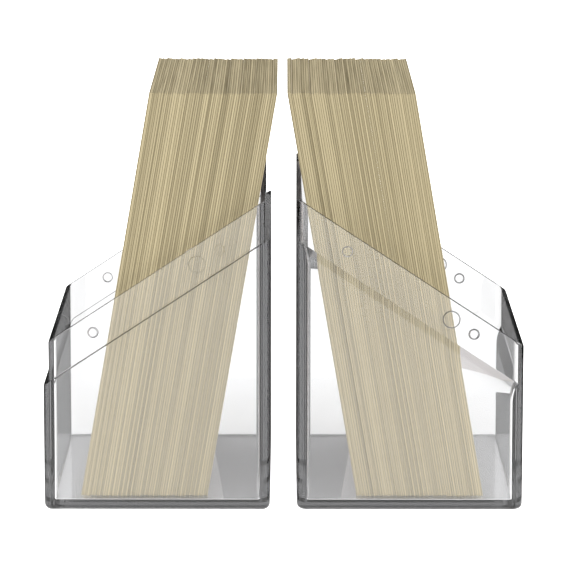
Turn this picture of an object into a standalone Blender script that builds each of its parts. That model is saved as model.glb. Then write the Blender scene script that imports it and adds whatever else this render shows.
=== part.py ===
"""Clear two-part case for cards, taken apart into two standing racks.

Each half is a thin moulded box cut off on a slant. The base half has a raised inset lip; the cover
half has a recess that slides over it. Here they stand side by side, tall walls together, and each
holds a stack of sleeved cards that leans against its tall wall. Metres, +Z up, +X to the right.
The origin is on the table, midway between the halves.
"""

import math

import bmesh
import bpy
from mathutils import Matrix, Vector

# A sleeved card and the stacks that they make
CARD_WIDTH = 0.066
CARD_LENGTH = 0.092
CARD_THICKNESS = 0.0009
CARD_GAP = 0.00009  # air between one card and the next
CARDS_PER_STACK = 28
LEAN = math.radians(9.8)  # from upright, towards the tall wall
FOOT_CLEARANCE = 0.0003  # between a card's lowest corner and the floor
TOP_CLEARANCE = 0.00215  # between the top corners of the two stacks
BASE_REST_GAP = 0.00012  # between the leaning cards and the lip that they rest on
COVER_REST_GAP = 0.00072  # between the leaning cards and the cover's rim

# The moulded halves
WALL = 0.0022
FLOOR = 0.0022
SIDE_CLEARANCE = 0.0008  # between a card's edge and the wall beside it
HEAD_CLEARANCE = 0.00235  # above a card in the closed case
BACK_ROOM = 0.0058  # from the last card's foot to the low wall of the base
BASE_LOW = 0.0285  # heights of the slanted parting edge on the base's two sides
BASE_TALL = 0.0616
OUTER_RADIUS = 0.0018
FLOOR_EDGE_RADIUS = 0.0015
INNER_RADIUS = 0.0008
INNER_EDGE_RADIUS = 0.0005

# The lip on the base and the recess in the cover that slides over it
LIP_HEIGHT = 0.0090
LIP_INSET = 0.00115
SLIDE_CLEARANCE = 0.00008
RECESS_CLEARANCE = 0.0003
RAMP_HEIGHT = 0.0058
RAMP_OVERLAP = 0.0001  # how far the ramp's foot reaches into the hollow, so that the cuts cross

# Snaps, placed from the case's sides and from the top of the lip
SNAP_FROM_SIDE = 0.0111
SNAP_FROM_LIP_TOP = 0.0044
SNAP_RADIUS = 0.0012
NUB_HEIGHT = 0.00035
DIMPLE_DEPTH = 0.0004
DETENT_FROM_SIDE = 0.0161
DETENT_RADIUS = 0.00195
DETENT_HEIGHT = 0.00012
DETENT_DEPTH = 0.0002

CORNER_SEGMENTS = 6
EDGE_SEGMENTS = 4

# What follows from those sizes
FOOT_HEIGHT = FLOOR + FOOT_CLEARANCE + CARD_THICKNESS / 2 * math.sin(LEAN)
CARD_PITCH = (CARD_THICKNESS + CARD_GAP) / math.cos(LEAN)
STACK_DEPTH = CARDS_PER_STACK * CARD_PITCH
CLOSED_HEIGHT = CARD_LENGTH + HEAD_CLEARANCE + 2 * FLOOR
COVER_TALL = CLOSED_HEIGHT - BASE_LOW
COVER_LOW = CLOSED_HEIGHT - BASE_TALL
RIM = LIP_INSET - SLIDE_CLEARANCE
RECESS_DEPTH = LIP_HEIGHT + RECESS_CLEARANCE
BASE_FOOT = WALL + BASE_REST_GAP + math.tan(LEAN) * (BASE_TALL + LIP_HEIGHT - FOOT_HEIGHT)
COVER_FOOT = RIM + COVER_REST_GAP + math.tan(LEAN) * (COVER_TALL - FOOT_HEIGHT)
CASE_WIDTH = BASE_FOOT + STACK_DEPTH + BACK_ROOM + WALL
CASE_DEPTH = CARD_WIDTH + 2 * (SIDE_CLEARANCE + WALL)
SLOPE = (BASE_TALL - BASE_LOW) / CASE_WIDTH
STACK_REACH = CARD_LENGTH * math.sin(LEAN)
HALF_GAP = 2 * STACK_REACH - BASE_FOOT - COVER_FOOT + TOP_CLEARANCE
BASE_MIDDLE = (BASE_LOW + BASE_TALL) / 2
COVER_MIDDLE = (COVER_LOW + COVER_TALL) / 2
ABOVE_ALL = CLOSED_HEIGHT


def clear_scene():
    """Removes every object of the scene that the script starts in."""
    for thing in list(bpy.data.objects):
        bpy.data.objects.remove(thing, do_unlink=True)


def new_collection(name):
    """Makes a collection in the scene."""
    collection = bpy.data.collections.new(name)
    bpy.context.scene.collection.children.link(collection)
    return collection


def principled(name, colour, roughness, transmission=0.0):
    """Makes a plain Principled material."""
    material = bpy.data.materials.new(name)
    material.use_nodes = True
    shader = material.node_tree.nodes["Principled BSDF"]
    shader.inputs["Base Color"].default_value = (*colour, 1.0)
    shader.inputs["Roughness"].default_value = roughness
    shader.inputs["Metallic"].default_value = 0.0
    shader.inputs["Transmission Weight"].default_value = transmission
    material.diffuse_color = (*colour, 1.0 - transmission / 2)
    return material


def object_from(name, bm, collection, material=None):
    """Turns a bmesh into an object of the collection."""
    bmesh.ops.recalc_face_normals(bm, faces=bm.faces)
    mesh = bpy.data.meshes.new(name)
    bm.to_mesh(mesh)
    bm.free()
    made = bpy.data.objects.new(name, mesh)
    collection.objects.link(made)
    if material:
        mesh.materials.append(material)
    return made


def empty_at(name, location, collection):
    """Makes an empty that carries the pieces of one half."""
    made = bpy.data.objects.new(name, None)
    made.empty_display_size = 0.01
    made.location = location
    collection.objects.link(made)
    return made


def ring_to(verts, inset, height):
    """Moves four corners onto the case's outline, inset by so much, at one height."""
    for vert in verts:
        vert.co.x = math.copysign(CASE_WIDTH / 2 - inset, vert.co.x)
        vert.co.y = math.copysign(CASE_DEPTH / 2 - inset, vert.co.y)
        vert.co.z = height


def block(levels, corner_radius):
    """A box with rounded upright corners through levels of (inset, height), lowest level first."""
    bm = bmesh.new()
    bmesh.ops.create_cube(bm, size=1)
    bottom = [vert for vert in bm.verts if vert.co.z < 0]
    top = [vert for vert in bm.verts if vert.co.z > 0]
    ring_to(bottom, *levels[0])
    for level in levels[1:-1]:
        ring_to(top, *level)
        face = next(face for face in bm.faces if all(vert in top for vert in face.verts))
        lifted = bmesh.ops.extrude_face_region(bm, geom=[face])["geom"]
        top = [item for item in lifted if isinstance(item, bmesh.types.BMVert)]
        bmesh.ops.delete(bm, geom=[face], context="FACES_ONLY")
    ring_to(top, *levels[-1])
    upright = [edge for edge in bm.edges if edge.verts[0].co.z != edge.verts[1].co.z]
    bmesh.ops.bevel(
        bm, geom=upright, offset=corner_radius, segments=CORNER_SEGMENTS, profile=0.5, affect="EDGES"
    )
    return bm


def round_bottom(bm, radius):
    """Rounds the edges around the lowest face."""
    lowest = min(vert.co.z for vert in bm.verts)
    face = next(f for f in bm.faces if all(abs(v.co.z - lowest) < 1e-7 for v in f.verts))
    bmesh.ops.bevel(
        bm, geom=list(face.edges), offset=radius, segments=EDGE_SEGMENTS, profile=0.5, affect="EDGES"
    )


def cut_on_slant(bm, middle, slope):
    """Cuts the block off along the slanted plane that has this height at its middle."""
    cut = bmesh.ops.bisect_plane(
        bm,
        geom=[*bm.verts, *bm.edges, *bm.faces],
        plane_co=(0, 0, middle),
        plane_no=Vector((-slope, 0, 1)).normalized(),
        clear_outer=True,
    )["geom_cut"]
    edges = [item for item in cut if isinstance(item, bmesh.types.BMEdge)]
    bmesh.ops.edgeloop_fill(bm, edges=edges)


def slant(bm, slope):
    """Tips the levels of a block so that they run parallel to the parting plane."""
    for vert in bm.verts:
        vert.co.z += slope * vert.co.x


def dome(at, height):
    """A squashed ball, half in and half out of the wall, for a nub or a dimple."""
    bm = bmesh.new()
    bmesh.ops.create_uvsphere(bm, u_segments=16, v_segments=8, radius=SNAP_RADIUS)
    bm.transform(Matrix.Translation(at) @ Matrix.Diagonal((1, height / SNAP_RADIUS, 1, 1)))
    return bm


def disc(at, half_height):
    """A round disc lying in the wall, half in and half out of its face."""
    bm = bmesh.new()
    bmesh.ops.create_cone(
        bm,
        cap_ends=True,
        segments=28,
        radius1=DETENT_RADIUS,
        radius2=DETENT_RADIUS,
        depth=2 * half_height,
    )
    bm.transform(Matrix.Translation(at) @ Matrix.Rotation(math.pi / 2, 4, "X"))
    return bm


def boolean(target, tool, operation):
    """Joins the tool to the target or cuts the target with it."""
    modifier = target.modifiers.new(tool.name, "BOOLEAN")
    modifier.operation = operation
    modifier.solver = "EXACT"
    modifier.object = tool


def helper(name, bm, collection, parent):
    """A shape that only joins or cuts another one."""
    made = object_from(name, bm, collection)
    made.parent = parent
    made.hide_render = True
    made.display_type = "WIRE"
    return made


def shell_from(name, bm, parent, collection, material):
    """The outer block of a half, which the helpers then shape."""
    made = object_from(name, bm, collection, material)
    made.parent = parent
    return made


def add_snaps(shell, face_inset, height_at, nub_x, dimple_x, detent, cutters, parent):
    """Puts the nubs, dimples and round detents on the front and back walls of a half."""
    detent_x, detent_half, detent_operation = detent
    for side, sign in (("front", -1), ("back", 1)):
        y = sign * (CASE_DEPTH / 2 - face_inset)
        features = (
            ("nub", nub_x, dome, NUB_HEIGHT, "UNION"),
            ("dimple", dimple_x, dome, DIMPLE_DEPTH, "DIFFERENCE"),
            ("detent", detent_x, disc, detent_half, detent_operation),
        )
        for kind, x, make, size, operation in features:
            bm = make(Vector((x, y, height_at(x))), size)
            tool = helper(f"{shell.name}_{side}_{kind}", bm, cutters, parent)
            boolean(shell, tool, operation)


def make_base_shell(parts, cutters, parent, material):
    """The lower half: a box with a slanted edge, and an inset lip that rises from it."""
    outer = block([(0, 0), (0, ABOVE_ALL)], OUTER_RADIUS)
    round_bottom(outer, FLOOR_EDGE_RADIUS)
    cut_on_slant(outer, BASE_MIDDLE, SLOPE)
    shell = shell_from("base_shell", outer, parent, parts, material)

    lip = block([(LIP_INSET, FLOOR), (LIP_INSET, ABOVE_ALL)], OUTER_RADIUS - LIP_INSET)
    cut_on_slant(lip, BASE_MIDDLE + LIP_HEIGHT, SLOPE)
    boolean(shell, helper("base_lip", lip, cutters, parent), "UNION")

    hollow = block([(WALL, FLOOR), (WALL, ABOVE_ALL)], INNER_RADIUS)
    round_bottom(hollow, INNER_EDGE_RADIUS)
    boolean(shell, helper("base_hollow", hollow, cutters, parent), "DIFFERENCE")

    def snap_height(x):
        return BASE_MIDDLE + SLOPE * x + LIP_HEIGHT - SNAP_FROM_LIP_TOP

    add_snaps(
        shell,
        face_inset=LIP_INSET,
        height_at=snap_height,
        nub_x=SNAP_FROM_SIDE - CASE_WIDTH / 2,
        dimple_x=CASE_WIDTH / 2 - SNAP_FROM_SIDE,
        detent=(CASE_WIDTH / 2 - DETENT_FROM_SIDE, DETENT_DEPTH, "DIFFERENCE"),
        cutters=cutters,
        parent=parent,
    )
    return shell


def make_cover_shell(parts, cutters, parent, material):
    """The upper half: the same box turned over, thinned inside its rim by a recess with a ramp."""
    outer = block([(0, 0), (0, ABOVE_ALL)], OUTER_RADIUS)
    round_bottom(outer, FLOOR_EDGE_RADIUS)
    cut_on_slant(outer, COVER_MIDDLE, -SLOPE)
    shell = shell_from("cover_shell", outer, parent, parts, material)

    hollow = block([(WALL, FLOOR), (WALL, ABOVE_ALL)], INNER_RADIUS)
    round_bottom(hollow, INNER_EDGE_RADIUS)
    boolean(shell, helper("cover_hollow", hollow, cutters, parent), "DIFFERENCE")

    shoulder = COVER_MIDDLE - RECESS_DEPTH
    recess = block(
        [
            (WALL + RAMP_OVERLAP, shoulder - RAMP_HEIGHT),
            (RIM, shoulder),
            (RIM, shoulder + ABOVE_ALL),
        ],
        OUTER_RADIUS - RIM,
    )
    slant(recess, -SLOPE)
    boolean(shell, helper("cover_recess", recess, cutters, parent), "DIFFERENCE")

    def snap_height(x):
        return COVER_MIDDLE - SLOPE * x - (LIP_HEIGHT - SNAP_FROM_LIP_TOP)

    add_snaps(
        shell,
        face_inset=RIM,
        height_at=snap_height,
        nub_x=CASE_WIDTH / 2 - SNAP_FROM_SIDE,
        dimple_x=SNAP_FROM_SIDE - CASE_WIDTH / 2,
        detent=(CASE_WIDTH / 2 - DETENT_FROM_SIDE, DETENT_HEIGHT, "UNION"),
        cutters=cutters,
        parent=parent,
    )
    return shell


def make_card(name, parts, parent, foot_x, lean, material):
    """One sleeved card, with its origin on the line along its foot that it tips about."""
    bm = bmesh.new()
    size = Matrix.Diagonal((CARD_THICKNESS, CARD_WIDTH, CARD_LENGTH, 1))
    bmesh.ops.create_cube(bm, size=1, matrix=Matrix.Translation((0, 0, CARD_LENGTH / 2)) @ size)
    card = object_from(name, bm, parts, material)
    card.parent = parent
    card.location = (foot_x, 0, FOOT_HEIGHT)
    card.rotation_euler = (0, lean, 0)
    return card


def make_stack(prefix, parts, parent, tall_side, foot, material):
    """A leaning stack. Card 01 rests by the tall wall, on side +1 or -1 of the half."""
    half_card = CARD_THICKNESS / 2 / math.cos(LEAN)
    first = CASE_WIDTH / 2 - foot - half_card
    for index in range(CARDS_PER_STACK):
        name = f"{prefix}_card_{index + 1:02d}"
        x = tall_side * (first - index * CARD_PITCH)
        make_card(name, parts, parent, x, tall_side * LEAN, material)


def main():
    clear_scene()
    parts = new_collection("two_part_card_case")
    cutters = new_collection("cutters")
    plastic = principled("clear_plastic", (0.92, 0.93, 0.94), 0.06, transmission=1.0)
    sleeve = principled("card_sleeve", (0.44, 0.37, 0.23), 0.5)

    centre = (HALF_GAP + CASE_WIDTH) / 2
    base = empty_at("base_half", (-centre, 0, 0), parts)
    cover = empty_at("cover_half", (centre, 0, 0), parts)
    make_base_shell(parts, cutters, base, plastic)
    make_cover_shell(parts, cutters, cover, plastic)
    make_stack("base", parts, base, 1, BASE_FOOT, sleeve)
    make_stack("cover", parts, cover, -1, COVER_FOOT, sleeve)


main()
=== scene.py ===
# %% [markdown]
# # A clear card case, opened into two small racks
# The case is moulded in two halves from clear plastic. Apart, each half stands as an open rack
# and holds a stack of sleeved cards that leans against its tall wall. This lesson dresses the
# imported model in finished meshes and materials. First the model itself is loaded. It is the
# frame that every piece is placed in, so nothing has to be fitted by eye.

# %% Load the frame
import math
import random

import bmesh
import bpy
from mathutils import Matrix, Vector


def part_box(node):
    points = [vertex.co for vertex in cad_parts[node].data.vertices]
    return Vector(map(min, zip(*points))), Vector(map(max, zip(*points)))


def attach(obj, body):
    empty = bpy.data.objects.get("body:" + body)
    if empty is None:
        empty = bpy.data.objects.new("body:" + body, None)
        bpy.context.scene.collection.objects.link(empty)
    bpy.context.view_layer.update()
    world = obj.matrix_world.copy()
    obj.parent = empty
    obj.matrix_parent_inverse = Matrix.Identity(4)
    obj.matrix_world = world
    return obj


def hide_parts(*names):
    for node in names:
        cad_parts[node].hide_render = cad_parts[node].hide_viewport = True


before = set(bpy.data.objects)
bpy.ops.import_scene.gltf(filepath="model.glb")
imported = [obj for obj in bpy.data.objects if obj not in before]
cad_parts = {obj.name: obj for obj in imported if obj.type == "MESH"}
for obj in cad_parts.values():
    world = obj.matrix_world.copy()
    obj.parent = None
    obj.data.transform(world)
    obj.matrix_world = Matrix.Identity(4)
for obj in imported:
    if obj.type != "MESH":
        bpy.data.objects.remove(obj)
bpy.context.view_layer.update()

# %% [markdown]
# ## The sizes of the case
# The halves repeat the sizes that the model was built with, in metres. Each wall is 2.2 mm
# thick. The parting edge runs down on a slant from the tall side to the low side, so the same
# slope serves the base's step and lip and, turned round, the cover's rim and recess. The base's
# edge is set 0.3 mm lower here than in the model, which is where it sits on the real case.

# %% Sizes of the case
MM = 0.001
WALL = 2.2 * MM
FLOOR = 2.2 * MM
OUTER_RADIUS = 1.8 * MM
INNER_RADIUS = 0.8 * MM
FOOT_ROUNDING = 1.5 * MM
FLOOR_ROUNDING = 0.2 * MM
LIP_HEIGHT = 9.0 * MM
LIP_INSET = 1.15 * MM
LIP_RADIUS = 0.65 * MM
RECESS_RADIUS = 1.3 * MM
RIM = 1.07 * MM
RECESS_DEPTH = 9.3 * MM
RAMP_HEIGHT = 5.2 * MM

BASE_LOW = 28.2 * MM
BASE_TALL = 61.3 * MM
base_low_corner, base_high_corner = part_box("base_shell")
cover_low_corner, cover_high_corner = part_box("cover_shell")
WIDTH = base_high_corner.x - base_low_corner.x
DEPTH = base_high_corner.y - base_low_corner.y
SLOPE = (BASE_TALL - BASE_LOW) / WIDTH
COVER_TALL = cover_high_corner.z
COVER_LOW = COVER_TALL - (BASE_TALL - BASE_LOW)
print(f"each half is {WIDTH / MM:.1f} mm wide and {DEPTH / MM:.1f} mm deep")

# %% [markdown]
# ## The camera
# The camera stands low in front, a little above the case, and looks down at it by ten degrees.
# A long lens keeps the upright edges almost parallel. It is made before the pieces, so that
# every later look at them is from the same place.

# %% Camera
SENSOR_WIDTH = 36.0
FOCAL_LENGTH = 234.0
CAMERA_PLACE = (0.00018, -0.8380, 0.1953)
CAMERA_TILT = 79.8
CAMERA_ROLL = -0.058

camera_data = bpy.data.cameras.new("front_camera")
camera_data.sensor_width = SENSOR_WIDTH
camera_data.lens = FOCAL_LENGTH
camera_data.clip_start = 0.01
camera_data.clip_end = 50.0
camera = bpy.data.objects.new("front_camera", camera_data)
camera.location = CAMERA_PLACE
camera.rotation_euler = (math.radians(CAMERA_TILT), math.radians(CAMERA_ROLL), 0.0)
bpy.context.scene.collection.objects.link(camera)
bpy.context.scene.camera = camera
print(f"the camera looks down by {90 - CAMERA_TILT:.1f} degrees")

# %% [markdown]
# ## Shader sums written as sums
# A procedural material is mostly arithmetic on patterns. Wiring every sum by hand hides what it
# says, so a small class wraps a node's output and lets it be added, multiplied or compared in
# plain Python. Numbers turn into node inputs by themselves, on either side of the sign.


# %% Wires
class Wire:
    """One output of a node, which can stand in a sum like a number."""

    def __init__(self, recipe, node, output=0):
        self.recipe = recipe
        self.node = node
        self.socket = node.outputs[output]

    def pick(self, output):
        return Wire(self.recipe, self.node, output)

    def __add__(self, other):
        return self.recipe.calc("ADD", self, other)

    def __radd__(self, other):
        return self.recipe.calc("ADD", other, self)

    def __sub__(self, other):
        return self.recipe.calc("SUBTRACT", self, other)

    def __rsub__(self, other):
        return self.recipe.calc("SUBTRACT", other, self)

    def __mul__(self, other):
        return self.recipe.calc("MULTIPLY", self, other)

    def __rmul__(self, other):
        return self.recipe.calc("MULTIPLY", other, self)

    def __gt__(self, other):
        return self.recipe.calc("GREATER_THAN", self, other)

    def __lt__(self, other):
        return self.recipe.calc("LESS_THAN", self, other)


# %% [markdown]
# A recipe holds the node tree that such sums belong to. One method makes every kind of node:
# its settings are set first, and then its sockets are filled with numbers or wires. Colours are
# mixed in a node of their own, because a Math node would turn them grey.


# %% Recipes
class Recipe:
    """The node tree of one material or of the world."""

    def __init__(self, owner):
        owner.use_nodes = True
        self.owner = owner
        self.tree = owner.node_tree
        self.tree.nodes.clear()

    def node(self, kind, settings=None, inputs=None):
        made = self.tree.nodes.new("ShaderNode" + kind)
        for name, value in (settings or {}).items():
            setattr(made, name, value)
        for name, value in (inputs or {}).items():
            if isinstance(value, Wire):
                self.tree.links.new(value.socket, made.inputs[name])
            else:
                made.inputs[name].default_value = value
        return Wire(self, made) if made.outputs else made

    def calc(self, operation, *values):
        return self.node("Math", {"operation": operation}, dict(enumerate(values)))

    def vector(self, operation, *values):
        return self.node("VectorMath", {"operation": operation}, dict(enumerate(values)))

    def blend(self, amount, first, second):
        settings = {"data_type": "RGBA", "clamp_factor": True}
        return self.node("Mix", settings, {0: amount, 6: first, 7: second}).pick(2)

    def noise(self, place, scale, detail):
        return self.node("TexNoise", None, {"Vector": place, "Scale": scale, "Detail": detail})

    def place(self):
        return self.node("TexCoord").pick("Object")

    def stored(self, name):
        """A number that is kept at each point of the mesh under this name."""
        return self.node("Attribute", {"attribute_name": name}).pick("Fac")


def material_recipe(name):
    return Recipe(bpy.data.materials.new(name))


def grey(level):
    return (level, level, level, 1.0)


# %% [markdown]
# ## How a ray reached the studio
# Clear plastic shows what stands around it, so the studio is most of its look. What the plastic
# mirrors is a dark space behind the case and a bright panel in front of it, as when black and
# white cards are stood around glassware. A ray that was mirrored more than once, as happens
# along the inside of a wall, meets an even grey. So the table and the world first ask a ray how
# it came: straight from the camera, mirrored, mirrored often, or through the plastic.

# %% Kinds of rays
MIRRORED_BEHIND = 0.03
MIRRORED_IN_FRONT = 2.6
MIRRORED_OFTEN = 0.48


class RayKind:
    """Shares, 0 or 1, that tell how a ray reached the studio."""

    def __init__(self, recipe):
        path = recipe.node("LightPath")
        glossy = path.pick("Glossy Depth")
        unscattered = 1 - (path.pick("Diffuse Depth") > 0.5)
        self.mirrored = (glossy > 0.5) * unscattered
        self.often = (glossy > 1.5) * unscattered
        passed = (path.pick("Transmission Depth") > 0.5) * unscattered
        self.through = passed * (1 - self.mirrored)
        self.direct = path.pick("Is Camera Ray")


def share_behind(recipe, place, low, high):
    """A soft step from 0 to 1 along Y, from in front of the case to behind it."""
    depth = recipe.node("SeparateXYZ", None, {0: place}).pick("Y")
    settings = {"interpolation_type": "SMOOTHSTEP"}
    return recipe.node("MapRange", settings, {0: depth, 1: low, 2: high})


# %% [markdown]
# ## The world
# The sky lights the cards evenly from all round. Seen through the plastic it is dimmer, because
# there it adds to the white that already shines through.

# %% World
SKY = 1.2
THROUGH_SKY = 0.30
SKY_TURNS = 0.3


def studio_world():
    world = bpy.data.worlds.new("studio")
    recipe = Recipe(world)
    heading = recipe.node("TexCoord").pick("Generated")
    behind = share_behind(recipe, heading, -SKY_TURNS, SKY_TURNS)
    ray = RayKind(recipe)
    mirrored = recipe.blend(behind, grey(MIRRORED_IN_FRONT), grey(MIRRORED_BEHIND))
    mirrored = recipe.blend(ray.often, mirrored, grey(MIRRORED_OFTEN))
    colour = recipe.blend(ray.mirrored, grey(SKY), mirrored)
    colour = recipe.blend(ray.through, colour, grey(THROUGH_SKY))
    light = recipe.node("Background", None, {"Color": colour})
    recipe.node("OutputWorld", None, {"Surface": light})
    bpy.context.scene.world = world
    return world


print("made the world:", studio_world().name)

# %% [markdown]
# ## The table
# The case stands on a wide pale table that glows a little, and the camera itself sees it plain
# white, like a sheet of paper lit from below. In what the plastic mirrors the table goes on with
# what the world shows there, so that no horizon crosses the walls.

# %% Table
TABLE_GLOW = 0.35
TABLE_RADIUS = 6.0
TABLE_SEGMENTS = 96
TABLE_GAP = 0.2 * MM
TABLE_TURNS = (-0.06, 0.0)
TABLE_LEVELS = (0.84, 0.88)
TABLE_MIRRORED = 0.02
FLECK_SCALE = 40.0


def table_material():
    recipe = material_recipe("pale_table")
    where = recipe.node("NewGeometry").pick("Position")
    behind = share_behind(recipe, where, *TABLE_TURNS)
    fleck = recipe.noise(where, FLECK_SCALE, detail=4.0)
    pale = recipe.blend(fleck, *(grey(level) for level in TABLE_LEVELS))
    ray = RayKind(recipe)
    colour = recipe.blend(ray.mirrored, pale, grey(TABLE_MIRRORED))
    glow = TABLE_GLOW * (1 - ray.mirrored) * (1 - ray.through)
    glow = glow + MIRRORED_IN_FRONT * (1 - behind) * ray.mirrored * (1 - ray.often)
    glow = glow + MIRRORED_OFTEN * ray.often + ray.direct
    inputs = {
        "Base Color": colour,
        "Roughness": 0.9,
        "Specular IOR Level": 0.0,
        "Emission Color": grey(1.0),
        "Emission Strength": glow,
    }
    surface = recipe.node("BsdfPrincipled", None, inputs)
    recipe.node("OutputMaterial", None, {"Surface": surface})
    return recipe.owner


def make_table():
    bm = bmesh.new()
    bmesh.ops.create_circle(bm, cap_ends=True, segments=TABLE_SEGMENTS, radius=TABLE_RADIUS)
    mesh = bpy.data.meshes.new("table")
    bm.to_mesh(mesh)
    bm.free()
    table = bpy.data.objects.new("table", mesh)
    table.location.z = -TABLE_GAP
    mesh.materials.append(table_material())
    bpy.context.scene.collection.objects.link(table)


make_table()
print("the table reaches", TABLE_RADIUS, "m each way")

# %% [markdown]
# ## The lights
# Two broad panels of light give the cards their form. The larger one stands above and behind
# the camera, and a weaker one above to the left. Light crosses many walls on its way through
# the case, so a ray is allowed many turns before it is dropped.

# %% Soft lights
AIM = (0, 0, 0.04)
WALL_CROSSINGS = 32
MIRROR_TURNS = 16


def panel_light(name, place, size, watts):
    data = bpy.data.lights.new(name, "AREA")
    data.shape = "RECTANGLE"
    data.size, data.size_y = size
    data.energy = watts
    light = bpy.data.objects.new(name, data)
    light.location = place
    heading = Vector(AIM) - Vector(place)
    light.rotation_euler = heading.to_track_quat("-Z", "Y").to_euler()
    bpy.context.scene.collection.objects.link(light)
    print(name, "shines with", watts, "watts")


panel_light("front_panel", (0.3, -1.6, 1.4), (1.6, 1.2), 5.0)
panel_light("left_panel", (-1.5, -0.2, 1.2), (1.0, 1.0), 2.0)

scene = bpy.context.scene
scene.view_settings.view_transform = "Standard"
scene.cycles.max_bounces = WALL_CROSSINGS
scene.cycles.transmission_bounces = WALL_CROSSINGS
scene.cycles.glossy_bounces = MIRROR_TURNS
scene.cycles.blur_glossy = 0.0

# %% [markdown]
# ## The clear plastic
# The halves are moulded from a clear plastic with a polished surface. Through the thickness of
# a wall it looks colourless, but along a wall it is grey, because the light has a long way to go
# through it. A uniform absorption inside the mesh does exactly that from every side. The tint
# wanders a little, as it does where the melt flowed together in the mould. Each point also keeps
# an amount of painted shade, which darkens the tint along edges and snap rims to draw the dark
# lines that light bending in the plastic makes there.

# %% Clear plastic
PLASTIC_IOR = 1.49
ABSORPTION_PER_METRE = 32.0
ABSORPTION_COLOUR = (0.50, 0.50, 0.51, 1.0)
TINT_SCALE = 120.0
WARM_TINT = grey(0.97)
COOL_TINT = (0.985, 0.99, 1.0, 1.0)
PAINTED_EDGE_SHADE = 0.04


def clear_plastic():
    recipe = material_recipe("clear_plastic")
    haze = recipe.noise(recipe.place(), TINT_SCALE, detail=3.0)
    tint = recipe.blend(haze, WARM_TINT, COOL_TINT)
    # Painted shade: the tint turns dark where the mesh stores an edge amount.
    tint = recipe.blend(recipe.stored("edge"), tint, grey(PAINTED_EDGE_SHADE))
    inputs = {
        "Base Color": tint,
        "Roughness": 0.0,
        "IOR": PLASTIC_IOR,
        "Transmission Weight": 1.0,
    }
    surface = recipe.node("BsdfPrincipled", None, inputs)
    inputs = {"Color": ABSORPTION_COLOUR, "Density": ABSORPTION_PER_METRE}
    inside = recipe.node("VolumeAbsorption", None, inputs)
    recipe.node("OutputMaterial", None, {"Surface": surface, "Volume": inside})
    return recipe.owner


plastic = clear_plastic()
print("made the material", plastic.name)

# %% [markdown]
# ## Corners of a half
# A thin box with rounded corners, a slanted edge and small roundings everywhere is one closed
# skin. It could be cut from blocks, but cut edges stay sharp and their long thin faces shade
# badly in clear plastic. Instead the skin is a row of rings, each a rounded rectangle at its own
# inset and height, joined one to the next: under the foot, up the outside, over the edge and
# down the inside to the floor. The upright corners come first. Their radius shrinks with the
# inset, and where the wall is thinner, at the lip or in the recess, it is one of its own.

# %% Corner radii
EDGE_ROUNDING = 0.1 * MM
CORNER_STEPS = 9
SHRINK_START = 0.3 * MM
SMALLEST_RADIUS = 0.25 * MM


def corner_radius(inset, thin_radius):
    """The radius of the upright corners at this inset from the outside."""
    thin = RIM - EDGE_ROUNDING
    if inset <= SHRINK_START:
        return OUTER_RADIUS - inset
    if inset <= thin:
        share = (inset - SHRINK_START) / (thin - SHRINK_START)
        return (OUTER_RADIUS - SHRINK_START) * (1 - share) + thin_radius * share
    if inset <= LIP_INSET:
        return thin_radius
    if inset <= WALL:
        share = (inset - LIP_INSET) / (WALL - LIP_INSET)
        return thin_radius * (1 - share) + INNER_RADIUS * share
    return max(INNER_RADIUS - (inset - WALL), SMALLEST_RADIUS)


def corner_arc(x, y, radius, start):
    """The points of a corner between its two ends, which the walls already have."""
    turns = [math.radians(start + 90 * step / CORNER_STEPS) for step in range(1, CORNER_STEPS)]
    return [(x + radius * math.cos(turn), y + radius * math.sin(turn), 0) for turn in turns]


print(f"the corners shrink from {OUTER_RADIUS / MM} to {INNER_RADIUS / MM} mm inside")

# %% [markdown]
# ## Rings around a half
# All rings have the same number of points, so two of them can always be joined. The front and
# back walls get fine columns of points where a snap will push the wall out, and a ring point
# beside each corner keeps the flat walls flat.

# %% Rings of points
HOLD = 0.06 * MM
SIDE_STEPS = 10
COARSE_COLUMN = 3 * MM
SNAP_MARGIN = 1.25


def spread(low, high, step):
    """Even positions from low to high, about a step apart."""
    count = max(1, round((high - low) / step))
    return [low + (high - low) * index / count for index in range(count + 1)]


def columns_near(features):
    """Positions along the front and back walls: fine around each feature and coarse between."""
    reach = WIDTH / 2 - WALL - INNER_RADIUS - 2 * HOLD
    edges = [-reach]
    for place, radius, step in sorted(features):
        edges += spread(place - SNAP_MARGIN * radius, place + SNAP_MARGIN * radius, step)
    edges.append(reach)
    columns = []
    for left, right in zip(edges, edges[1:]):
        columns += spread(left, right, COARSE_COLUMN)[:-1]
    return [*columns, reach]


def ring_points(inset, columns, thin_radius):
    """The outline at an inset, anticlockwise from above, as (x, y, outward direction)."""
    radius = corner_radius(inset, thin_radius)
    half_x = WIDTH / 2 - inset
    half_y = DEPTH / 2 - inset
    flat_x = half_x - radius
    flat_y = half_y - radius
    front = [-flat_x, -flat_x + HOLD, *columns, flat_x - HOLD, flat_x]
    sides = spread(-flat_y + HOLD, flat_y - HOLD, (2 * flat_y - 2 * HOLD) / SIDE_STEPS)
    sides = [-flat_y, *sides, flat_y]
    points = [(x, -half_y, -1) for x in front]
    points += corner_arc(flat_x, -flat_y, radius, -90)
    points += [(half_x, y, 0) for y in sides]
    points += corner_arc(flat_x, flat_y, radius, 0)
    points += [(x, half_y, 1) for x in reversed(front)]
    points += corner_arc(-flat_x, flat_y, radius, 90)
    points += [(-half_x, y, 0) for y in reversed(sides)]
    points += corner_arc(-flat_x, -flat_y, radius, 180)
    return points


print("a ring without snaps has", len(ring_points(0.0, [], LIP_RADIUS)), "points")

# %% [markdown]
# ## Levels and roundings
# A level is one ring with a rule for its height and a number for how much painted shade darkens
# its tint. Levels near the foot are flat, and levels near the parting edge follow the slant. A
# quarter round between two walls is a handful of such levels.

# %% Levels
ROUND_STEPS = 6


def flat_level(inset, height):
    return inset, False, height, 0.0


def slant_level(inset, above):
    return inset, True, above, 0.0


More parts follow.
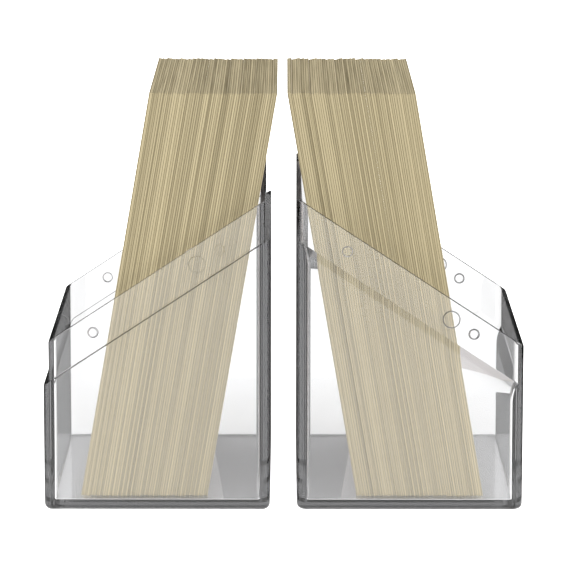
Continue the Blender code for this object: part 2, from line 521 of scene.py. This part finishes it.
def with_painted_shade(levels, amount):
    """The same levels, with painted shade that darkens their tint by this much along an edge."""
    return [(inset, slanted, height, amount) for inset, slanted, height, _ in levels]


def quarter(kind, start, end, bulge):
    """Levels from start to end, both (inset, height), around a quarter circle.
    bulge is "height" where the round leaves start upright, or "inset" where it leaves it level."""
    levels = []
    for step in range(ROUND_STEPS + 1):
        turn = math.pi / 2 * step / ROUND_STEPS
        early, late = math.sin(turn), 1 - math.cos(turn)
        across, up = (late, early) if bulge == "height" else (early, late)
        inset = start[0] + (end[0] - start[0]) * across
        height = start[1] + (end[1] - start[1]) * up
        levels.append(kind(inset, height))
    return levels


foot_round = quarter(flat_level, (FOOT_ROUNDING, 0.0), (0.0, FOOT_ROUNDING), "inset")
print("the foot is rounded in", len(foot_round), "levels")

# %% [markdown]
# ## From levels to a skin
# Each level becomes a ring of points, and each pair of neighbours a band of faces. A rule called
# shape may push the points of the front and back walls out of their plane. How much painted shade
# darkens the tint is kept at the points, for the material to read. A finished mesh is handed to
# the body that it moves with and takes the place of the model's own node.


# %% Skins and pieces
def skin_from(levels, columns, thin_radius, height_of, shape):
    """Joins the rings of these levels into one closed skin."""
    bm = bmesh.new()
    edge = bm.verts.layers.float.new("edge")
    rings = []
    for inset, slanted, height, amount in levels:
        ring = []
        for x, y, outward in ring_points(inset, columns, thin_radius):
            z = height_of(x) + height if slanted else height
            push, shade = shape(x, z, inset) if outward else (0.0, 0.0)
            vert = bm.verts.new((x, y + outward * push, z))
            # Painted shade at this point: the level's amount on the front and back walls, plus a
            # snap's rim.
            vert[edge] = amount * abs(outward) + shade
            ring.append(vert)
        rings.append(ring)
    join_rings(bm, rings)
    for face in bm.faces:
        face.smooth = True
    return bm


def join_rings(bm, rings):
    """Fills the bands between the rings and closes both ends."""
    for lower, upper in zip(rings, rings[1:]):
        for index in range(len(lower)):
            after = (index + 1) % len(lower)
            bm.faces.new((lower[index], lower[after], upper[after], upper[index]))
    bm.faces.new(reversed(rings[0]))
    bm.faces.new(rings[-1])
    bmesh.ops.recalc_face_normals(bm, faces=bm.faces)


def add_piece(name, bm, place, body, nodes, material):
    """Makes an object from a mesh, sets it in its place and hands it to its body."""
    mesh = bpy.data.meshes.new(name)
    bm.to_mesh(mesh)
    bm.free()
    mesh.materials.append(material)
    piece = bpy.data.objects.new(name, mesh)
    piece.matrix_world = place
    bpy.context.scene.collection.objects.link(piece)
    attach(piece, body)
    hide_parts(*nodes)


# %% [markdown]
# ## The snaps
# Small round nubs and dimples on the front and back walls click into each other when the case
# is closed, and a larger round detent beside them centres the halves. They are moulded in one
# piece with the walls, so they push the skin in or out instead of being objects of their own.
# A nub or dimple is a button with a steep rim, and a detent is a flat disc. Through clear
# plastic only their rims show, and painted shade darkens the tint along each rim.

# %% Snap shapes
NUB_RADIUS = 1.2 * MM
NUB_HEIGHT = 0.35 * MM
DIMPLE_DEPTH = 0.4 * MM
BUTTON_POWER = 8
DETENT_RADIUS = 1.95 * MM
DETENT_EDGE = 0.2 * MM
SNAP_RIM = 0.2 * MM
SAME_FACE = 0.001 * MM


def button(distance, height):
    """A round button with a nearly flat top that turns down steeply at its rim."""
    share = min(distance / NUB_RADIUS, 1.0)
    return height * (1 - share**BUTTON_POWER)


def disc(distance, height):
    """A flat disc with a crisp edge."""
    share = (DETENT_RADIUS - distance) / DETENT_EDGE
    return height * min(max(share, 0.0), 1.0)


def snap_shape(face_inset, height_of, above_edge, nub, dimple, detent):
    """A rule for how far the wall's face is pushed out and how much painted shade darkens it
    there.
    Each snap is (x, height, how much painted shade darkens its rim)."""
    features = ((button, *nub), (button, *dimple), (disc, *detent))

    def push(x, z, inset):
        total, shade = 0.0, 0.0
        if abs(inset - face_inset) > SAME_FACE:
            return total, shade
        for form, place, height, painted_rim_shade in features:
            distance = math.hypot(x - place, z - height_of(place) - above_edge)
            total += form(distance, height)
            rim = (NUB_RADIUS if form is button else DETENT_RADIUS) - SNAP_RIM / 2
            shade += painted_rim_shade * max(0.0, 1 - abs(distance - rim) / SNAP_RIM)
        return total, shade

    return push


print(f"a nub stands {NUB_HEIGHT / MM} mm out of its wall")

# %% [markdown]
# The snaps need a fine grid in the skin. Columns give it across the wall, and levels give it up
# the wall.

# %% A fine grid at the snaps
SNAP_FROM_SIDE = 11.1 * MM
DETENT_FROM_SIDE = 16.1 * MM
SNAP_FROM_LIP_TOP = 4.4 * MM
NUB_COLUMN = 0.08 * MM
DETENT_COLUMN = 0.06 * MM
FINE_RING = 0.06 * MM
FINE_REACH = 1.33 * DETENT_RADIUS


def snap_columns(nub, dimple, detent):
    rounds = [(snap[0], NUB_RADIUS, NUB_COLUMN) for snap in (nub, dimple)]
    return columns_near([*rounds, (detent[0], DETENT_RADIUS, DETENT_COLUMN)])


def fine_levels(inset, low, high, snap):
    """Levels up a wall's face, fine where the snaps are."""
    near, far = snap - FINE_REACH, snap + FINE_REACH
    heights = spread(low, near, MM)[:-1]
    heights += spread(near, far, FINE_RING)
    heights += spread(far, high, MM)[1:]
    return [slant_level(inset, above) for above in heights]


print("levels across the snaps:", round(2 * FINE_REACH / FINE_RING))

# %% [markdown]
# ## The base half's levels
# The base is the lower part of the closed case. Its wall steps in near the top and goes on as a
# thinner lip, which the cover slides over. The step is a small shelf with a rounded outer edge,
# and the lip's top is rounded on both sides so that the cover finds its way.

# %% Levels of the base
STEP_FILLET = 0.1 * MM
LIP_PAINTED_SHADE = 0.5


def foot_levels():
    """Under the foot and round it to the outside, the same on both halves."""
    levels = [flat_level(FOOT_ROUNDING + HOLD, 0.0), *foot_round]
    levels.append(flat_level(0.0, FOOT_ROUNDING + HOLD))
    levels.append(slant_level(0.0, -EDGE_ROUNDING - HOLD))
    return levels


def floor_levels():
    """From the inside of the wall to the floor, the same on both halves."""
    inner_foot = FLOOR + FLOOR_ROUNDING
    levels = [flat_level(WALL, inner_foot + HOLD)]
    levels += quarter(flat_level, (WALL, inner_foot), (WALL + FLOOR_ROUNDING, FLOOR), "height")
    levels.append(flat_level(WALL + FLOOR_ROUNDING + HOLD, FLOOR))
    return levels


def base_levels():
    top = LIP_HEIGHT
    step = quarter(slant_level, (0.0, -EDGE_ROUNDING), (EDGE_ROUNDING, 0.0), "height")
    step.append(slant_level(EDGE_ROUNDING + HOLD, 0.0))
    step.append(slant_level(LIP_INSET - STEP_FILLET - HOLD, 0.0))
    fillet = (LIP_INSET - STEP_FILLET, 0.0), (LIP_INSET, STEP_FILLET)
    outer_top = (LIP_INSET, top - EDGE_ROUNDING), (LIP_INSET + EDGE_ROUNDING, top)
    inner_top = (WALL - EDGE_ROUNDING, top), (WALL, top - EDGE_ROUNDING)
    snap = LIP_HEIGHT - SNAP_FROM_LIP_TOP
    # The step's edge and the lip's top are darkened by painted shade, drawn as dark lines.
    levels = foot_levels() + with_painted_shade(step, 1.0)
    levels += quarter(slant_level, *fillet, "inset")
    levels += fine_levels(LIP_INSET, STEP_FILLET + HOLD, top - EDGE_ROUNDING - HOLD, snap)
    levels += with_painted_shade(quarter(slant_level, *outer_top, "height"), LIP_PAINTED_SHADE)
    levels += with_painted_shade(quarter(slant_level, *inner_top, "inset"), LIP_PAINTED_SHADE)
    levels.append(slant_level(WALL, top - EDGE_ROUNDING - HOLD))
    return levels + floor_levels()


print("levels of the base:", len(base_levels()))

# %% [markdown]
# ## The base half
# The base's parting edge rises to the right, towards the middle of the scene. The nub sits at
# the low side, and the dimple and the detent at the tall side.

# %% Base half
DETENT_DEPTH = 0.2 * MM


def base_edge(x):
    return (BASE_LOW + BASE_TALL) / 2 + SLOPE * x


# The third number of each snap is how much painted shade darkens its rim.
base_nub = (SNAP_FROM_SIDE - WIDTH / 2, NUB_HEIGHT, 1.0)
base_dimple = (WIDTH / 2 - SNAP_FROM_SIDE, -DIMPLE_DEPTH, 0.0)
base_detent = (WIDTH / 2 - DETENT_FROM_SIDE, -DETENT_DEPTH, 0.4)
base_snaps = (base_nub, base_dimple, base_detent)
base_shape = snap_shape(LIP_INSET, base_edge, LIP_HEIGHT - SNAP_FROM_LIP_TOP, *base_snaps)
base_columns = snap_columns(*base_snaps)
base_skin = skin_from(base_levels(), base_columns, LIP_RADIUS, base_edge, base_shape)
print("points in the base half:", len(base_skin.verts))
add_piece(
    "base_half_moulding",
    base_skin,
    Matrix.Translation(((base_low_corner.x + base_high_corner.x) / 2, 0, 0)),
    "base_half",
    ["base_shell"],
    plastic,
)

# %% [markdown]
# ## The cover half's levels
# The cover is the same box turned over. It is thinner inside its rim: the recess there takes the
# base's lip. Below the recess a ramp leads back to the full wall. It starts at a shoulder and
# then flattens out, so it bends the lines of the cards behind it a little.

# %% Levels of the cover
RAMP_STEPS = 22
RAMP_CURVE = 2.0


def ramp_levels():
    """From the end of the recess to the full wall, steep at first and then ever flatter."""
    shares = [0.0, HOLD / RAMP_HEIGHT]
    shares += [step / RAMP_STEPS for step in range(1, RAMP_STEPS + 1)]
    levels = []
    for share in shares:
        inset = WALL - (WALL - RIM) * (1 - share) ** RAMP_CURVE
        levels.append(slant_level(inset, -RECESS_DEPTH - RAMP_HEIGHT * share))
    return levels


def cover_levels():
    outer_top = (0.0, -EDGE_ROUNDING), (EDGE_ROUNDING, 0.0)
    inner_top = (RIM - EDGE_ROUNDING, 0.0), (RIM, -EDGE_ROUNDING)
    snap = SNAP_FROM_LIP_TOP - LIP_HEIGHT
    levels = foot_levels()
    # The rim's top is darkened by painted shade, drawn as a dark line.
    levels += with_painted_shade(quarter(slant_level, *outer_top, "height"), 1.0)
    levels += with_painted_shade(quarter(slant_level, *inner_top, "inset"), 1.0)
    levels += reversed(fine_levels(RIM, HOLD - RECESS_DEPTH, -EDGE_ROUNDING - HOLD, snap))
    levels += ramp_levels()
    levels.append(slant_level(WALL, -RECESS_DEPTH - RAMP_HEIGHT - HOLD))
    return levels + floor_levels()


print("levels of the cover:", len(cover_levels()))

# %% [markdown]
# ## The cover half
# The cover's slant falls the other way, so that both tall walls stand together in the middle of
# the scene. Its snaps meet those of the base when it is turned over.

# %% Cover half
DETENT_HEIGHT = 0.24 * MM


def cover_edge(x):
    return (COVER_LOW + COVER_TALL) / 2 - SLOPE * x


# The third number of each snap is how much painted shade darkens its rim.
cover_nub = (WIDTH / 2 - SNAP_FROM_SIDE, NUB_HEIGHT, 2.0)
cover_dimple = (SNAP_FROM_SIDE - WIDTH / 2, -DIMPLE_DEPTH, 1.0)
cover_detent = (WIDTH / 2 - DETENT_FROM_SIDE, DETENT_HEIGHT, 1.4)
cover_snaps = (cover_nub, cover_dimple, cover_detent)
cover_shape = snap_shape(RIM, cover_edge, SNAP_FROM_LIP_TOP - LIP_HEIGHT, *cover_snaps)
cover_columns = snap_columns(*cover_snaps)
cover_skin = skin_from(cover_levels(), cover_columns, RECESS_RADIUS, cover_edge, cover_shape)
print("points in the cover half:", len(cover_skin.verts))
add_piece(
    "cover_half_moulding",
    cover_skin,
    Matrix.Translation(((cover_low_corner.x + cover_high_corner.x) / 2, 0, 0)),
    "cover_half",
    ["cover_shell"],
    plastic,
)

# %% [markdown]
# ## The card material
# The stacks show little but edges: cream board between two films, streaked along each card. The
# streaks are finest across a card's thickness and very long along its edge, so one noise is
# stretched by a different amount each way. Each card has its own tone, kept in its mesh.

# %% Card material
CREAM_LIGHT = (0.525, 0.448, 0.278, 1.0)
CREAM_DARK = (0.15, 0.122, 0.062, 1.0)
PALE_FACE = (0.56, 0.53, 0.52, 1.0)
STREAKS_EACH_WAY = (4200.0, 30.0, 7.0)
STREAK_CONTRAST = 1.5
GRAIN_SCALE = 3500.0
GRAIN_CONTRAST = 0.25
LEVEL_SHIFT = 0.03
BATCH_SHIFT = {0: 91.0, 1: 37.0}


def card_material():
    recipe = material_recipe("card_sleeve")
    batch = recipe.stored("batch")
    shift = {axis: batch * amount for axis, amount in BATCH_SHIFT.items()}
    shift = recipe.node("CombineXYZ", None, shift)
    stretched = recipe.vector("MULTIPLY", recipe.place(), STREAKS_EACH_WAY)
    streak = recipe.noise(recipe.vector("ADD", stretched, shift), 1.0, detail=3.0)
    grain = recipe.noise(recipe.place(), GRAIN_SCALE, detail=3.0)
    level = (streak - 0.5) * STREAK_CONTRAST + recipe.stored("tone")
    level = level + (grain - 0.5) * GRAIN_CONTRAST - LEVEL_SHIFT
    colour = recipe.blend(level, CREAM_DARK, CREAM_LIGHT)
    face = recipe.stored("face") * (0.9 + grain * 0.2)
    inputs = {"Strength": 0.4, "Distance": 0.03 * MM, "Height": streak + grain}
    normal = recipe.node("Bump", None, inputs)
    inputs = {
        "Base Color": recipe.blend(face, colour, PALE_FACE),
        "Roughness": 0.55 + grain * 0.2,
        "Specular IOR Level": 0.3,
        "Normal": normal,
    }
    surface = recipe.node("BsdfPrincipled", None, inputs)
    recipe.node("OutputMaterial", None, {"Surface": surface})
    return recipe.owner


cream = card_material()
print("made the material", cream.name)

# %% [markdown]
# ## The edge of a sleeved card
# A sleeved card is a board in a pocket of two films. From the edge it shows as a wide cream line
# between two thin ones, with a narrow dark groove on each side of the board. The card could be a
# plain slab with that drawn on it, but a groove that is really there casts its own shadow, so
# the edge's section is swept once around the card. The groove's own rows are darkened as well,
# which is painted shade on top of that shadow.

# %% Edge section
CARD_THICKNESS = 0.986 * MM
FACE_INSETS = (0.3 * MM, 0.15 * MM)
FACE_TONE = 0.6
GROOVE = 0.11 * MM
GROOVE_DEPTH = 0.12 * MM
GROOVE_PAINTED_SHADE = -0.9
EDGE_SOFTNESS = 0.02 * MM


def edge_section(rng, tone):
    """The edge's section from face to face, as (across, inset, tone)."""
    half = CARD_THICKNESS / 2
    board_inset = rng.uniform(0.02, 0.12) * MM
    section = []
    for side in (1, -1):
        film_end = half - rng.uniform(0.08, 0.22) * MM
        film_inset = rng.uniform(0.0, 0.05) * MM
        film_tone = rng.uniform(0.6, 1.4)
        board = film_end - GROOVE
        rows = [
            *((half, inset, FACE_TONE) for inset in FACE_INSETS),
            (half - 0.2 * EDGE_SOFTNESS, film_inset + EDGE_SOFTNESS, film_tone),
            (half - EDGE_SOFTNESS, film_inset, film_tone),
            (film_end, film_inset, film_tone),
            # Painted shade: the groove's rows get a dark tone.
            (film_end - 0.2 * GROOVE, GROOVE_DEPTH, GROOVE_PAINTED_SHADE),
            (board + 0.2 * GROOVE, GROOVE_DEPTH, GROOVE_PAINTED_SHADE),
            (board, board_inset + EDGE_SOFTNESS, tone),
            (board - EDGE_SOFTNESS, board_inset, tone),
        ]
        rows = [(side * across, inset, row_tone) for across, inset, row_tone in rows]
        section += rows if side > 0 else reversed(rows)
    return section


print(f"a sleeved card is {CARD_THICKNESS / MM} mm thick")

# %% [markdown]
# ## The outline of a card
# No two cards in a stack end at quite the same place. Each outline is trimmed a little at the
# sides, the top and the foot, and its long edges swing by a few hundredths of a millimetre.

# %% Card outline
CARD_WIDTH = 66.0 * MM
CARD_LENGTH = 92.0 * MM
CARD_CORNER = 0.5 * MM
SMALLEST_CORNER = 0.1 * MM
CARD_CORNER_STEPS = 3
LONG_EDGE = 10 * MM
LONG_EDGE_STEPS = 9


def card_outline(inset):
    """A rounded rectangle as (width, height) points, with extra points along its edges."""
    radius = max(CARD_CORNER - inset, SMALLEST_CORNER)
    half_y = CARD_WIDTH / 2 - inset
    half_z = CARD_LENGTH / 2 - inset
    corners = (
        (half_y - radius, -half_z + radius, -90),
        (half_y - radius, half_z - radius, 0),
        (-half_y + radius, half_z - radius, 90),
        (-half_y + radius, -half_z + radius, 180),
    )
    points = []
    for y, z, start in corners:
        for step in range(CARD_CORNER_STEPS + 1):
            turn = math.radians(start + 90 / CARD_CORNER_STEPS * step)
            points.append((y + radius * math.cos(turn), z + radius * math.sin(turn)))
    dense = []
    for (y, z), (next_y, next_z) in zip(points, points[1:] + points[:1]):
        is_long = math.hypot(next_y - y, next_z - z) > LONG_EDGE
        for step in range(LONG_EDGE_STEPS if is_long else 1):
            share = step / LONG_EDGE_STEPS
            dense.append((y + (next_y - y) * share, z + (next_z - z) * share))
    return dense


def card_ring(inset, trims, wave):
    """The outline trimmed at the sides, the top and the foot, and swung by the wave."""
    out = []
    for y, z in card_outline(inset):
        y *= 1 - trims[0] / (CARD_WIDTH / 2)
        share = z / CARD_LENGTH + 0.5
        out.append((y + wave(z), z - trims[1] * share + trims[2] * (1 - share)))
    return out


print("a card's outline has", len(card_outline(0.0)), "points")

# %% [markdown]
# ## One sleeved card
# The section is swept around the outline. Each point keeps its tone, the number of its batch,
# which moves the streaks, and whether it lies on a big face of the card.

# %% Sleeved card
FACE_START = 0.2 * MM
WAVES_PER_METRE = 60.0


def sleeved_card(rng, tone):
    bm = bmesh.new()
    tones = bm.verts.layers.float.new("tone")
    batches = bm.verts.layers.float.new("batch")
    faces = bm.verts.layers.float.new("face")
    batch = rng.random()
    trims = [rng.uniform(low, high) * MM for low, high in ((0.05, 0.16), (0.0, 0.3), (0.0, 0.2))]
    swing = rng.uniform(-0.05, 0.05) * MM
    phase = rng.uniform(0, 2 * math.pi)

    def wave(z):
        return swing * math.sin(phase + WAVES_PER_METRE * z)

    rings = []
    for across, inset, row_tone in edge_section(rng, tone):
        ring = [bm.verts.new((across, y, z)) for y, z in card_ring(inset, trims, wave)]
        on_face = float(inset > FACE_START)
        for vert in ring:
            vert[tones], vert[batches], vert[faces] = row_tone, batch, on_face
        rings.append(ring)
    join_rings(bm, rings)
    return bm


# %% [markdown]
# ## The two stacks
# Each card takes its place from its own solid in the model: the middle of the solid's box and the
# lean of its stack. The tones wander from card to card, as in a deck that was printed and cut in
# batches, and every card is a little shorter or longer than its neighbours.

# %% Stacks
LEAN = math.radians(9.8)
TONE_KEPT = 0.25
TONE_RANGE = (0.25, 0.85)


def make_stack(prefix, lean, seed):
    rng = random.Random(seed)
    tone = 0.5
    names = sorted(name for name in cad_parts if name.startswith(f"{prefix}_card_"))
    for name in names:
        low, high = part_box(name)
        place = Matrix.Translation((low + high) / 2) @ Matrix.Rotation(lean, 4, "Y")
        tone = TONE_KEPT * tone + (1 - TONE_KEPT) * rng.uniform(*TONE_RANGE)
        number = name[-2:]
        body = f"{prefix}_stack" if number == "01" else f"{prefix}_leaf_{number}"
        card = sleeved_card(rng, tone)
        add_piece(f"{prefix}_sleeve_{number}", card, place, body, [name], cream)
    print(prefix, "stack:", len(names), "cards")


make_stack("base", LEAN, 11)
make_stack("cover", -LEAN, 23)
